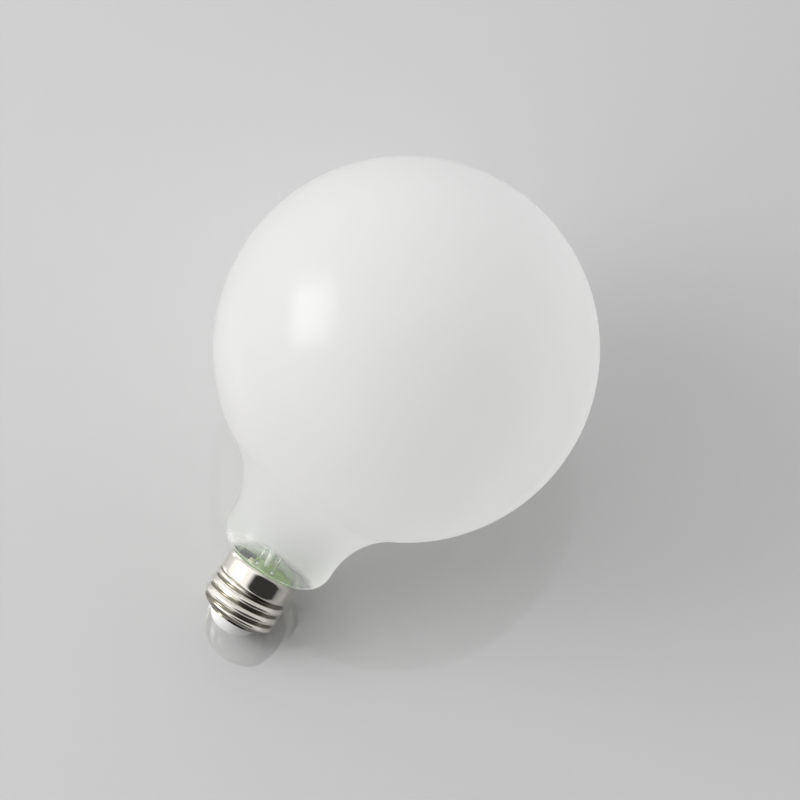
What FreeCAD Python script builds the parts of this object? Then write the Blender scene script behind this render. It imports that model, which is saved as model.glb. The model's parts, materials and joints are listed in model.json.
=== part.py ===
import FreeCAD, Part
import Sketcher
import math
import os

# A large globe bulb with a milky glass globe, a clear glass end and a screw cap.
#
# Every piece is drawn along the bulb's own axis. The globe's centre is the origin, the crown points
# along +Z and the cap along -Z. A depth is a distance below the globe's centre, towards the cap.
# In the end all pieces are laid down together: the bulb rests on its globe and on its thread.

doc = FreeCAD.newDocument("globe_bulb")

# Driving sizes, in millimetres and degrees
DRIVING_SIZES = [
    ("globe_radius", 62.5, "round glass, outer radius"),
    ("glass_wall", 0.8, "wall of the blown glass"),
    ("shoulder_radius", 25.5, "hollow curve from the globe to the neck"),
    ("neck_radius", 19.4, "glass neck, outer radius"),
    ("neck_length", 1.4, "straight stretch of the neck"),
    ("rounding_run", 0.6, "how far the centre of the neck's rounding lies inside the collar's face"),
    ("collar_length", 5.2, "collar below the cap's rim"),
    ("rim_gap", 0.34, "glass rounding to the cap's rim"),
    ("seal_gap", 0.05, "collar to the stem's skirt"),
    ("stem_wall", 0.7, "wall of the stem's skirt and tube"),
    ("stem_lip", 0.8, "lip of the stem under the collar"),
    ("skirt_above_board", 0.3, "straight part of the skirt above the board"),
    ("bell_radius", 5.0, "outward curve of the stem's skirt"),
    ("throat_radius", 8.0, "inward curve into the stem's tube"),
    ("stem_tube_radius", 4.6, "stem's tube, outer radius"),
    ("stem_length", 26.2, "straight stretch of the stem's tube"),
    ("stem_cap", 1.2, "glass that closes the stem's tube"),
    ("pinch_width", 9.0, "flat pinch of the stem, wide side"),
    ("pinch_thickness", 3.4, "flat pinch of the stem, thin side"),
    ("pinch_height", 8.5, "height of the pinch"),
    ("exhaust_radius", 2.3, "exhaust tube, outer radius"),
    ("exhaust_bore", 1.5, "exhaust tube, bore radius"),
    ("exhaust_taper", 9.2, "drawn-out end of the exhaust tube"),
    ("exhaust_tip_radius", 0.9, "end of the exhaust tube"),
    ("tip_gap", 0.5, "exhaust tube's end to the board"),
    ("post_radius", 1.5, "glass post on the pinch"),
    ("post_above_anchor", 2.5, "glass post past the anchor, up to its round end"),
    ("lead_radius", 0.3, "lead-in wire"),
    ("lead_offset", 3.05, "lead-in wire from the axis"),
    ("lead_rise", 1.6, "straight wire above the pinch"),
    ("lead_slant", 2.6, "height of the wire's outward slant"),
    ("lead_bend", 0.6, "bend of a lead-in wire"),
    ("lead_hole_gap", 0.02, "wire to its hole in the pinch"),
    ("bar_end", 0.6, "crossbar past the filament's end"),
    ("filament_radius", 0.9, "coated part of a light filament"),
    ("filament_tab", 2.6, "metal end of a filament, length"),
    ("filament_tab_radius", 0.25, "metal end of a filament, radius"),
    ("filament_low_offset", 7.1, "lower end of a filament from the axis, in X and in Y"),
    ("filament_high_offset", 3.2, "upper end of a filament from the axis, in X and in Y"),
    ("filament_height", 35.0, "height from a filament's lower end to its upper end"),
    ("weld_gap", 0.08, "filament's end to the wire that holds it"),
    ("anchor_wall", 0.8, "ring on the post"),
    ("anchor_height", 1.6, "ring on the post"),
    ("board_drop", 1.0, "cap's rim to the board's upper face"),
    ("board_thickness", 1.0, "driver board"),
    ("board_gap", 0.2, "board's edge to the stem's skirt"),
    ("board_hole_gap", 0.1, "lead wire to its hole in the board"),
    ("solder_radius", 0.85, "solder round a lead wire"),
    ("solder_top_radius", 0.45, "upper end of the solder"),
    ("solder_height", 0.7, "solder round a lead wire"),
    ("lead_tail", 0.6, "lead wire below the board"),
    ("sheet_wall", 0.3, "sheet metal of the cap"),
    ("band_radius", 12.5, "plain band of the cap"),
    ("rim_overhang", 0.5, "flared rim beyond the band"),
    ("rim_flare", 0.9, "height of the flare"),
    ("band_length", 7.0, "cap's rim to the end of the plain band"),
    ("band_taper", 0.8, "band down to the thread's root"),
    ("root_step", 0.4, "band to the thread's root, across"),
    ("thread_height", 1.05, "thread's root to its crest, across"),
    ("thread_pitch", 3.629, "rolled round thread"),
    ("thread_turns", 2.5, "turns of the thread"),
    ("thread_depth", 16.5, "cap's rim to the last crest on the side that faces the floor"),
    ("thread_lead_in", 30.0, "degrees of thread past that crest"),
    ("thread_base", 2.5, "width of the thread at its root"),
    ("thread_top", 0.9, "width of the thread at its crest"),
    ("roll_inset", 14.0, "degrees that the hollow of the thread stops short of its ends"),
    ("shell_length", 19.4, "cap's rim to its flat end"),
    ("shell_rounding", 2.4, "rounding at the shell's lower end"),
    ("lip_inset", 3.7, "thread's root to the lip round the insulator, across"),
    ("lip_length", 1.0, "lip of the shell below its flat end"),
    ("insulator_step", 0.1, "lip to the insulator below it, across"),
    ("insulator_end_radius", 4.6, "insulator's end face"),
    ("insulator_length", 4.2, "insulator below the lip"),
    ("insulator_bulge", 8.0, "radius of the insulator's rounded side"),
    ("insulator_collar_height", 1.9, "insulator inside the shell"),
    ("insulator_bore", 1.5, "hole for the contact's shank and its lead"),
    ("insulator_gap", 0.05, "insulator to the shell's lip"),
    ("contact_radius", 2.6, "head of the contact"),
    ("contact_edge", 0.15, "edge of the contact's head"),
    ("contact_flat", 2.0, "flat top of the contact's head"),
    ("contact_height", 0.4, "head of the contact"),
    ("shank_radius", 0.9, "shank of the contact"),
    ("shank_length", 6.2, "shank of the contact"),
    ("cement_room", 0.2, "glass collar to the cap's band, across"),
    ("cement_gap", 0.02, "cement to the glass and to the shell"),
    ("cement_drop", 1.4, "cap's rim to the cement"),
    ("part_lead_radius", 0.25, "leads of the parts under the board"),
    ("part_lead_bend", 0.75, "bend of such a lead"),
    ("shell_lead_drop", 0.75, "straight lead below the stem's lip"),
    ("shell_lead_slant", 1.5, "height of the lead's slant to the shell"),
    ("shell_lead_run", 3.25, "lead along the shell's inner face"),
    ("capacitor_radius", 4.0, "smoothing capacitor"),
    ("capacitor_length", 10.0, "smoothing capacitor"),
    ("capacitor_offset", 4.6, "smoothing capacitor from the axis"),
    ("capacitor_gap", 0.4, "smoothing capacitor to the board"),
    ("capacitor_pins", 3.5, "smoothing capacitor, pin to pin"),
    ("capacitor_foot", 0.8, "rubber foot of the capacitor, up to the groove"),
    ("capacitor_groove", 0.4, "rolled groove of the capacitor's can, depth and half its width"),
    ("resistor_radius", 1.2, "fusible resistor"),
    ("resistor_length", 6.3, "fusible resistor, its body"),
    ("resistor_lead", 1.8, "fusible resistor, each straight lead"),
    ("resistor_offset", 5.2, "fusible resistor from the axis"),
    ("chip_length", 4.9, "driver chip"),
    ("chip_width", 3.9, "driver chip"),
    ("chip_height", 1.4, "driver chip"),
    ("chip_offset", 7.0, "driver chip from the axis"),
    ("rectifier_length", 4.7, "bridge rectifier"),
    ("rectifier_width", 3.8, "bridge rectifier"),
    ("rectifier_height", 1.5, "bridge rectifier"),
    ("rectifier_offset", 6.4, "bridge rectifier from the axis"),
    ("leg_length", 0.7, "legs of the chip and the rectifier"),
    ("leg_width", 0.5, "legs of the chip and the rectifier"),
    ("leg_height", 0.6, "legs of the chip and the rectifier"),
    ("leg_pitch", 2.4, "leg to leg on one side"),
    ("ceramic_length", 2.0, "ceramic capacitor"),
    ("ceramic_width", 1.3, "ceramic capacitor"),
    ("ceramic_height", 1.2, "ceramic capacitor"),
    ("ceramic_offset", 4.4, "ceramic capacitor from the axis, towards the driver chip"),
    ("ceramic_side", 3.4, "ceramic capacitor beside the chip"),
    ("rest_clearance", 0.01, "thread to the floor, as laid down"),
]

sheet = doc.addObject("Spreadsheet::Sheet", "Sizes")
for row, (alias, number, meaning) in enumerate(DRIVING_SIZES, start=1):
    sheet.set("A%d" % row, meaning)
    sheet.set("B%d" % row, str(number))
    sheet.setAlias("B%d" % row, alias)
doc.recompute()


class Size:
    """A number of the sheet, or one worked out from it, with the formula that binds it to the sheet."""

    def __init__(self, value, formula):
        self.value = value
        self.formula = formula

    def __add__(self, other):
        other = as_size(other)
        return Size(self.value + other.value, "(%s + %s)" % (self.formula, other.formula))

    def __sub__(self, other):
        other = as_size(other)
        return Size(self.value - other.value, "(%s - %s)" % (self.formula, other.formula))

    def __mul__(self, other):
        other = as_size(other)
        return Size(self.value * other.value, "(%s * %s)" % (self.formula, other.formula))

    def __truediv__(self, other):
        other = as_size(other)
        return Size(self.value / other.value, "(%s / %s)" % (self.formula, other.formula))

    def __neg__(self):
        return Size(-self.value, "(-1 * %s)" % self.formula)


def as_size(number):
    if isinstance(number, Size):
        return number
    return Size(float(number), "%.10g" % number)


def root(size):
    return Size(math.sqrt(size.value), "sqrt(%s)" % size.formula)


class SheetSizes:
    """Gives each driving size of the sheet by its name."""

    def __getattr__(self, alias):
        return Size(float(sheet.get(alias)), "Sizes.%s" % alias)


size = SheetSizes()
ZERO = as_size(0)

# Worked out from the driving sizes: the cap's radii go with its band
rim_radius = size.band_radius + size.rim_overhang
root_radius = size.band_radius - size.root_step
crest_radius = root_radius + size.thread_height
lip_radius = root_radius - size.lip_inset
insulator_radius = lip_radius - size.insulator_step
collar_radius = size.band_radius - size.sheet_wall - size.cement_room

# The glass outline, from the globe down to the cap's rim
shoulder_x = size.neck_radius + size.shoulder_radius
centre_span = size.globe_radius + size.shoulder_radius
neck_top = root(centre_span * centre_span - shoulder_x * shoulder_x)
neck_end = neck_top + size.neck_length
rounding_x = collar_radius - size.rounding_run
neck_rounding = size.neck_radius - rounding_x


def rounding_depth(x, radius):
    """Depth of the rounding under the neck at a distance x from the axis."""
    across = x - rounding_x
    return neck_end + root(radius * radius - across * across)


collar_top = rounding_depth(collar_radius, neck_rounding)
rim = collar_top + size.rim_gap
collar_end = rim + size.collar_length
collar_bore = collar_radius - size.glass_wall

# The stem: a skirt in the collar, a bell, a throat and a tube
skirt_radius = collar_bore - size.seal_gap
board_radius = skirt_radius - size.stem_wall - size.board_gap
board_top = rim + size.board_drop
board_bottom = board_top + size.board_thickness
skirt_top = board_top - size.skirt_above_board
bell_x = skirt_radius - size.bell_radius
throat_x = size.stem_tube_radius + size.throat_radius
curve_span = size.bell_radius + size.throat_radius
throat_depth = skirt_top - root(curve_span * curve_span - (throat_x - bell_x) * (throat_x - bell_x))
stem_ceiling = throat_depth - size.stem_length
stem_top = stem_ceiling - size.stem_cap
pinch_top = stem_top - size.pinch_height

# The wires and the filaments above the pinch
crossbar_depth = pinch_top - size.lead_rise - size.lead_slant
filament_bottom = crossbar_depth - size.lead_radius - size.weld_gap
filament_top = filament_bottom - size.filament_height
anchor_depth = filament_top - size.weld_gap - size.lead_radius

# The cap
flat_end = rim + size.shell_length
lip_end = flat_end + size.lip_length
insulator_end = lip_end + size.insulator_length
collar_seat = flat_end - size.sheet_wall
thread_contact = rim + size.thread_depth
thread_edge = thread_contact + size.thread_top / 2
contact_tip = insulator_end + size.contact_height

# The insulator's side is an arc. Its centre follows from the arc's two ends and its radius.
side_across = insulator_radius - size.insulator_end_radius
side_down = size.insulator_length
side_span = root(side_across * side_across + side_down * side_down)
side_share = root(size.insulator_bulge * size.insulator_bulge - side_span * side_span / 4) / side_span
side_centre_x = insulator_radius - side_across / 2 - side_down * side_share
side_centre_depth = lip_end + side_down / 2 - side_across * side_share

# The resistor hangs straight down from the board, and the filaments lean in to the anchor's arms.
resistor_span = size.resistor_length + size.resistor_lead * 2
resistor_bottom = board_bottom + resistor_span
filament_run_x = size.filament_low_offset - size.filament_high_offset
filament_length = root(filament_run_x * filament_run_x * 2 + size.filament_height * size.filament_height)

ARM_TURN = 45
TINY = 1e-9

bodies = []


def new_body(label):
    body = doc.addObject("PartDesign::Body", label)
    body.Label = label
    bodies.append(body)
    return body


def new_sketch(body, name, role="XZ_Plane"):
    """A sketch on one of the body's own origin planes. In XZ_Plane, y runs along the bulb's axis."""
    sketch = body.newObject("Sketcher::SketchObject", name)
    for plane in body.Origin.OriginFeatures:
        if plane.Role == role:
            sketch.AttachmentSupport = [(plane, "")]
    sketch.MapMode = "FlatFace"
    return sketch


def flat(point):
    return FreeCAD.Vector(point[0].value, point[1].value, 0)


def bind_last(sketch, index, formula):
    sketch.setExpression("Constraints[%d]" % index, formula)


def hold(sketch, kind, edge, vertex, coordinate):
    """Dimensions one coordinate of a point from the sketch's origin."""
    if abs(coordinate.value) < TINY:
        axis = -2 if kind == "DistanceX" else -1
        sketch.addConstraint(Sketcher.Constraint("PointOnObject", edge, vertex, axis))
    elif coordinate.value > 0:
        index = sketch.addConstraint(Sketcher.Constraint(kind, -1, 1, edge, vertex, coordinate.value))
        bind_last(sketch, index, coordinate.formula)
    else:
        index = sketch.addConstraint(Sketcher.Constraint(kind, edge, vertex, -1, 1, -coordinate.value))
        bind_last(sketch, index, (-coordinate).formula)


def line(to):
    return ("line", to, None, 0)


def arc(to, centre, turn):
    """An arc to a point about a centre. turn is 1 for counter-clockwise and -1 for clockwise."""
    return ("arc", to, centre, turn)


def draw_outline(sketch, start, steps):
    """Draws a closed outline. The last step is a line back to the start.

    Every point is dimensioned: an arc by its centre, its first point and one coordinate of its end.
    """
    drawn = []
    here = start
    for kind, there, centre, turn in steps:
        first, last = 1, 2
        if kind == "line":
            edge = sketch.addGeometry(Part.LineSegment(flat(here), flat(there)))
        else:
            radius = (flat(here) - flat(centre)).Length
            ends = [flat(point) - flat(centre) for point in (here, there)]
            angles = [math.atan2(end.y, end.x) for end in ends]
            if turn < 0:
                angles.reverse()
                first, last = 2, 1
            if angles[1] < angles[0]:
                angles[1] += 2 * math.pi
            circle = Part.Circle(flat(centre), FreeCAD.Vector(0, 0, 1), radius)
            edge = sketch.addGeometry(Part.ArcOfCircle(circle, angles[0], angles[1]))
            hold(sketch, "DistanceX", edge, 3, centre[0])
            hold(sketch, "DistanceY", edge, 3, centre[1])
        drawn.append((edge, first, last, here, there, centre))
        here = there
    for index, (edge, first, last, here, there, centre) in enumerate(drawn):
        before = drawn[index - 1]
        sketch.addConstraint(Sketcher.Constraint("Coincident", before[0], before[2], edge, first))
        spoke = None
        if before[5] is not None:
            spoke = flat(here) - flat(before[5])
        if spoke is None or abs(spoke.y) > abs(spoke.x):
            hold(sketch, "DistanceX", edge, first, here[0])
        if spoke is None or abs(spoke.y) <= abs(spoke.x):
            hold(sketch, "DistanceY", edge, first, here[1])


def corner_steps(corners):
    return [line(corner) for corner in corners[1:] + corners[:1]]


def revolve(body, start, steps):
    """Turns an outline, drawn in distances from the axis and heights along it, all the way round."""
    sketch = new_sketch(body, "Outline")
    draw_outline(sketch, start, steps)
    turned = body.newObject("PartDesign::Revolution", "Turned")
    turned.Profile = sketch
    turned.ReferenceAxis = (sketch, ["V_Axis"])
    turned.Angle = 360
    return turned


def revolved_body(label, start, steps):
    body = new_body(label)
    revolve(body, start, steps)
    return body


def turned_body(label, corners):
    """A turned piece whose outline has straight sides only."""
    return revolved_body(label, corners[0], corner_steps(corners))


def raise_sketch(sketch, height):
    """Moves a sketch of the XY plane along the axis."""
    sketch.AttachmentOffset = FreeCAD.Placement(FreeCAD.Vector(0, 0, height.value), FreeCAD.Rotation())
    sketch.setExpression("AttachmentOffset.Base.z", height.formula)


def draw_box(sketch, x, y, length, width):
    """A rectangle about the point x, y, with its length along X."""
    half_length, half_width = length / 2, width / 2
    corners = [
        (x - half_length, y - half_width),
        (x + half_length, y - half_width),
        (x + half_length, y + half_width),
        (x - half_length, y + half_width),
    ]
    first = sketch.GeometryCount
    for index in range(4):
        here, there = corners[index], corners[(index + 1) % 4]
        sketch.addGeometry(Part.LineSegment(flat(here), flat(there)))
    for index in range(4):
        edge = first + index
        before = first + (index - 1) % 4
        sketch.addConstraint(Sketcher.Constraint("Coincident", before, 2, edge, 1))
        hold(sketch, "DistanceX", edge, 1, corners[index][0])
        hold(sketch, "DistanceY", edge, 1, corners[index][1])


def draw_circle(sketch, x, y, radius):
    circle = Part.Circle(flat((x, y)), FreeCAD.Vector(0, 0, 1), radius.value)
    edge = sketch.addGeometry(circle)
    hold(sketch, "DistanceX", edge, 3, x)
    hold(sketch, "DistanceY", edge, 3, y)
    index = sketch.addConstraint(Sketcher.Constraint("Radius", edge, radius.value))
    bind_last(sketch, index, radius.formula)


def pad(body, sketch, name, height):
    feature = body.newObject("PartDesign::Pad", name)
    feature.Profile = sketch
    feature.Length = height.value
    feature.setExpression("Length", height.formula)
    return feature


def cut_through(body, sketch, name):
    """Cuts a sketch's outlines all the way through, to both sides."""
    feature = body.newObject("PartDesign::Pocket", name)
    feature.Profile = sketch
    feature.Type = "ThroughAll"
    feature.Midplane = True
    return feature


def cut_upward(body, sketch, name, height):
    feature = body.newObject("PartDesign::Pocket", name)
    feature.Profile = sketch
    feature.Length = height.value
    feature.setExpression("Length", height.formula)
    feature.Reversed = True
    return feature


def make_envelope():
    """Globe, hollow shoulder, neck, rounding and collar: one blown piece with an even wall."""
    wall = size.glass_wall
    inner_globe = size.globe_radius - wall
    inner_rounding = neck_rounding - wall
    shoulder = (shoulder_x, -neck_top)
    rounding = (rounding_x, -neck_end)
    centre = (ZERO, ZERO)
    share = size.globe_radius / centre_span
    inner_share = inner_globe / centre_span
    revolved_body("glass_envelope", (ZERO, size.globe_radius), [
        arc((shoulder_x * share, -(neck_top * share)), centre, -1),
        arc((size.neck_radius, -neck_top), shoulder, 1),
        line((size.neck_radius, -neck_end)),
        arc((collar_radius, -collar_top), rounding, -1),
        line((collar_radius, -collar_end)),
        line((collar_bore, -collar_end)),
        line((collar_bore, -rounding_depth(collar_bore, inner_rounding))),
        arc((size.neck_radius - wall, -neck_end), rounding, 1),
        line((size.neck_radius - wall, -neck_top)),
        arc((shoulder_x * inner_share, -(neck_top * inner_share)), shoulder, -1),
        arc((ZERO, inner_globe), centre, 1),
        line((ZERO, size.globe_radius)),
    ])


def make_stem():
    """Skirt, bell, throat and tube, closed at the top and pressed flat round the two wires."""
    wall = size.stem_wall
    tube, tube_bore = size.stem_tube_radius, size.stem_tube_radius - wall
    lip_depth = collar_end + size.stem_lip
    bell = (bell_x, -skirt_top)
    throat = (throat_x, -throat_depth)
    share = size.bell_radius / curve_span
    inner_share = (size.bell_radius - wall) / curve_span
    reach_x, reach_z = throat_x - bell_x, skirt_top - throat_depth
    crown_radius = size.pinch_thickness / 2
    body = revolved_body("stem_flare", (ZERO, -stem_top), [
        line((crown_radius, -stem_top)),
        line((tube, -stem_ceiling)),
        line((tube, -throat_depth)),
        arc((bell_x + reach_x * share, reach_z * share - skirt_top), throat, 1),
        arc((skirt_radius, -skirt_top), bell, -1),
        line((skirt_radius, -collar_end)),
        line((collar_radius, -collar_end)),
        line((collar_radius, -lip_depth)),
        line((skirt_radius - wall, -lip_depth)),
        line((skirt_radius - wall, -skirt_top)),
        arc((bell_x + reach_x * inner_share, reach_z * inner_share - skirt_top), bell, 1),
        arc((tube_bore, -throat_depth), throat, -1),
        line((tube_bore, -stem_ceiling)),
        line((ZERO, -stem_ceiling)),
        line((ZERO, -stem_top)),
    ])
    base = new_sketch(body, "PinchOutline", "XY_Plane")
    raise_sketch(base, -stem_ceiling)
    draw_box(base, ZERO, ZERO, size.pinch_thickness, size.pinch_width)
    pad(body, base, "Pinch", size.stem_cap + size.pinch_height)
    holes = new_sketch(body, "WireHoles", "XY_Plane")
    raise_sketch(holes, -(stem_ceiling + size.stem_cap))
    for side in (-1, 1):
        draw_circle(holes, ZERO, size.lead_offset * side, size.lead_radius + size.lead_hole_gap)
    cut_upward(body, holes, "WireWays", (size.stem_cap + size.pinch_height) * 2)


def make_exhaust_tube():
    """A tube inside the stem whose lower end is melted shut to a drawn-out tip above the board."""
    tip = board_top - size.tip_gap
    taper = tip - size.exhaust_taper
    shoulder = tip - size.exhaust_tip_radius
    closed = taper + size.exhaust_taper / 2
    outer, bore, end = size.exhaust_radius, size.exhaust_bore, size.exhaust_tip_radius
    revolved_body("exhaust_tube", (bore, -stem_ceiling), [
        line((bore, -taper)),
        line((ZERO, -closed)),
        line((ZERO, -tip)),
        arc((end, -shoulder), (ZERO, -shoulder), 1),
        line((outer, -taper)),
        line((outer, -stem_ceiling)),
        line((bore, -stem_ceiling)),
    ])


def make_post():
    """A glass rod on the pinch with a round end."""
    radius = size.post_radius
    end = size.post_above_anchor - anchor_depth
    revolved_body("stem_post", (ZERO, -pinch_top), [
        line((radius, -pinch_top)),
        line((radius, end)),
        arc((ZERO, end + radius), (ZERO, end), 1),
        line((ZERO, -pinch_top)),
    ])


def make_board():
    """A round board with a hole for each lead wire."""
    body = new_body("driver_board")
    disc = new_sketch(body, "Disc", "XY_Plane")
    raise_sketch(disc, -board_bottom)
    draw_circle(disc, ZERO, ZERO, board_radius)
    pad(body, disc, "Board", size.board_thickness)
    holes = new_sketch(body, "Holes", "XY_Plane")
    raise_sketch(holes, -board_bottom)
    for side in (-1, 1):
        draw_circle(holes, ZERO, size.lead_offset * side, size.lead_radius + size.board_hole_gap)
    cut_through(body, holes, "LeadHoles")


def make_solder(label, side):
    """A small cone of solder round a lead wire, on the board."""
    bore = size.lead_radius + size.lead_hole_gap
    body = turned_body(label, [
        (bore, ZERO),
        (size.solder_radius, ZERO),
        (size.solder_top_radius, size.solder_height),
        (bore, size.solder_height),
    ])
    return body, FreeCAD.Vector(0, side * size.lead_offset.value, -board_top.value)


def make_thread_turn(body, name, kind, angle, depth, turns, half_outline):
    """A ridge or a hollow that winds up from a depth. Its outline is the same above and below."""
    sketch = new_sketch(body, name + "Outline")
    turn = FreeCAD.Rotation(FreeCAD.Vector(0, 1, 0), angle.value)
    sketch.AttachmentOffset = FreeCAD.Placement(FreeCAD.Vector(0, 0, 0), turn)
    low = [(x, -depth - half_width) for x, half_width in half_outline]
    high = [(x, half_width - depth) for x, half_width in reversed(half_outline)]
    draw_outline(sketch, low[0], corner_steps(low + high))
    winding = body.newObject(kind, name)
    winding.Profile = sketch
    winding.ReferenceAxis = (sketch, ["V_Axis"])
    winding.Mode = "pitch-turns-angle"
    winding.Pitch = size.thread_pitch.value
    winding.setExpression("Pitch", size.thread_pitch.formula)
    winding.Turns = turns.value
    winding.setExpression("Turns", turns.formula)
    return winding


def make_shell():
    """The cap's shell: flared rim, plain band, rolled thread, rounded end and a lip."""
    wall = size.sheet_wall
    bend = size.shell_rounding
    flare_end = rim + size.rim_flare
    band_end = rim + size.band_length
    root_start = band_end + size.band_taper
    bend_depth = flat_end - bend
    bend_x = root_radius - bend
    bend_centre = (bend_x, -bend_depth)
    inner_root = root_radius - wall
    body = new_body("screw_shell")
    revolve(body, (rim_radius, -rim), [
        line((size.band_radius, -flare_end)),
        line((size.band_radius, -band_end)),
        line((root_radius, -root_start)),
        line((root_radius, -bend_depth)),
        arc((bend_x, -flat_end), bend_centre, -1),
        line((lip_radius, -flat_end)),
        line((lip_radius, -lip_end)),
        line((lip_radius - wall, -lip_end)),
        line((lip_radius - wall, -collar_seat)),
        line((bend_x, -collar_seat)),
        arc((inner_root, -bend_depth), bend_centre, 1),
        line((inner_root, -root_start)),
        line((size.band_radius - wall, -band_end)),
        line((size.band_radius - wall, -flare_end)),
        line((rim_radius - wall, -rim)),
        line((rim_radius, -rim)),
    ])
    start = thread_contact + size.thread_pitch * size.thread_lead_in / 360
    flank = (size.thread_base - size.thread_top) / 2
    sunk = root_radius - wall / 2
    half_base, half_top = size.thread_base / 2, size.thread_top / 2
    rise = crest_radius - sunk
    wall_shift = wall * root(rise * rise + flank * flank) / rise
    make_thread_turn(body, "Thread", "PartDesign::AdditiveHelix", ZERO, start, size.thread_turns, [
        (sunk, half_base),
        (crest_radius, half_top),
    ])
    hollow_crest = crest_radius - wall
    below = inner_root - wall
    widen = flank / rise
    half_hollow_top = half_top + wall * widen - wall_shift
    half_hollow_base = half_base + (sunk - below) * widen - wall_shift
    turned = size.roll_inset / 360
    make_thread_turn(body, "Hollow", "PartDesign::SubtractiveHelix", size.roll_inset,
                     start - size.thread_pitch * turned, size.thread_turns - turned * 2, [
        (below, half_hollow_base),
        (hollow_crest, half_hollow_top),
    ])
    return body


def make_insulator():
    """The white end. Its collar sits on the shell's flat end, inside, and the lip lies round its waist."""
    waist = lip_radius - size.sheet_wall - size.insulator_gap
    collar = root_radius - size.shell_rounding - size.insulator_gap
    top = collar_seat - size.insulator_collar_height
    centre = (side_centre_x, -side_centre_depth)
    revolved_body("insulator", (size.insulator_bore, -top), [
        line((size.insulator_bore, -insulator_end)),
        line((size.insulator_end_radius, -insulator_end)),
        arc((insulator_radius, -lip_end), centre, 1),
        line((waist, -lip_end)),
        line((waist, -collar_seat)),
        line((collar, -collar_seat)),
        line((collar, -top)),
        line((size.insulator_bore, -top)),
    ])


def make_contact():
    """A nail with a flat-topped head, pressed into the insulator."""
    edge = insulator_end + size.contact_edge
    shank_top = insulator_end - size.shank_length
    turned_body("centre_contact", [
        (ZERO, -shank_top),
        (ZERO, -contact_tip),
        (size.contact_flat, -contact_tip),
        (size.contact_radius, -edge),
        (size.contact_radius, -insulator_end),
        (size.shank_radius, -insulator_end),
        (size.shank_radius, -shank_top),
    ])


def make_cement():
    """The ring of cement between the glass collar and the cap's band."""
    inner = collar_radius + size.cement_gap
    outer = size.band_radius - size.sheet_wall - size.cement_gap
    top = rim + size.cement_drop
    end = collar_end + size.stem_lip
    turned_body("basing_cement", [(inner, -top), (outer, -top), (outer, -end), (inner, -end)])


def make_capacitor():
    """A can with a rolled groove, closed by a rubber foot, that hangs under the board on two pins.

    It is the heaviest piece off the axis. It hangs on the side that faces the floor, as the bulb lies
    still only with this side down.
    """
    can = size.capacitor_radius
    groove = size.capacitor_groove
    length = size.capacitor_length
    foot = size.capacitor_foot
    body = turned_body("smoothing_capacitor", [
        (ZERO, ZERO),
        (can, ZERO),
        (can, foot),
        (can - groove, foot + groove),
        (can, foot + groove + groove),
        (can, length - groove),
        (can - groove, length),
        (ZERO, length),
    ])
    pins = new_sketch(body, "Pins", "XY_Plane")
    raise_sketch(pins, -size.capacitor_gap)
    for side in (-1, 1):
        draw_circle(pins, ZERO, size.capacitor_pins / 2 * side, size.part_lead_radius)
    pad(body, pins, "PinStubs", size.capacitor_gap + groove)
    seat = board_bottom + size.capacitor_gap
    return body, FreeCAD.Vector(size.capacitor_offset.value, 0, -seat.value)


def make_spindle(label, body_radius, end_radius, end_length, length):
    """A round body with a thinner round lead at each end, drawn up from its lower end."""
    return turned_body(label, [
        (ZERO, ZERO),
        (end_radius, ZERO),
        (end_radius, end_length),
        (body_radius, end_length),
        (body_radius, length - end_length),
        (end_radius, length - end_length),
        (end_radius, length),
        (ZERO, length),
    ])


def make_flat_part(label, length, width, height):
    """A moulded part that stands on two legs at each end."""
    body = new_body(label)
    block = new_sketch(body, "Block", "XY_Plane")
    draw_box(block, ZERO, ZERO, length, width)
    pad(body, block, "Moulding", height)
    legs = new_sketch(body, "Legs", "XY_Plane")
    for end in (-1, 1):
        for side in (-1, 1):
            x = (length + size.leg_length) / 2 * end
            y = size.leg_pitch / 2 * side
            draw_box(legs, x, y, size.leg_length, size.leg_width)
    pad(body, legs, "LegStubs", size.leg_height)
    return body


def make_block(label, length, width, height):
    """A small ceramic block."""
    body = new_body(label)
    block = new_sketch(body, "Block", "XY_Plane")
    draw_box(block, ZERO, ZERO, length, width)
    pad(body, block, "Block", height)
    return body


def make_anchor():
    """A ring on the post with one arm to each filament, bent from one strip."""
    body = new_body("filament_anchor")
    bore = size.post_radius + size.lead_hole_gap
    ring = new_sketch(body, "Ring", "XY_Plane")
    raise_sketch(ring, -(anchor_depth + size.anchor_height / 2))
    draw_circle(ring, ZERO, ZERO, bore + size.anchor_wall)
    draw_circle(ring, ZERO, ZERO, bore)
    pad(body, ring, "RingPad", size.anchor_height)
    reach = size.filament_high_offset * root(as_size(2)) + size.filament_tab_radius
    start = bore + size.anchor_wall / 2
    arms = new_sketch(body, "Arms", "XY_Plane")
    arms.AttachmentOffset = FreeCAD.Placement(
        FreeCAD.Vector(0, 0, -(anchor_depth + size.lead_radius).value),
        FreeCAD.Rotation(FreeCAD.Vector(0, 0, 1), ARM_TURN),
    )
    arms.setExpression("AttachmentOffset.Base.z", (-(anchor_depth + size.lead_radius)).formula)
    middle = (start + reach) / 2
    for x, y in ((middle, ZERO), (-middle, ZERO), (ZERO, middle), (ZERO, -middle)):
        along_x = abs(x.value) > 0
        long_side, short_side = reach - start, size.lead_radius * 2
        if along_x:
            draw_box(arms, x, y, long_side, short_side)
        else:
            draw_box(arms, x, y, short_side, long_side)
    pad(body, arms, "ArmPad", size.lead_radius * 2)


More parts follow.
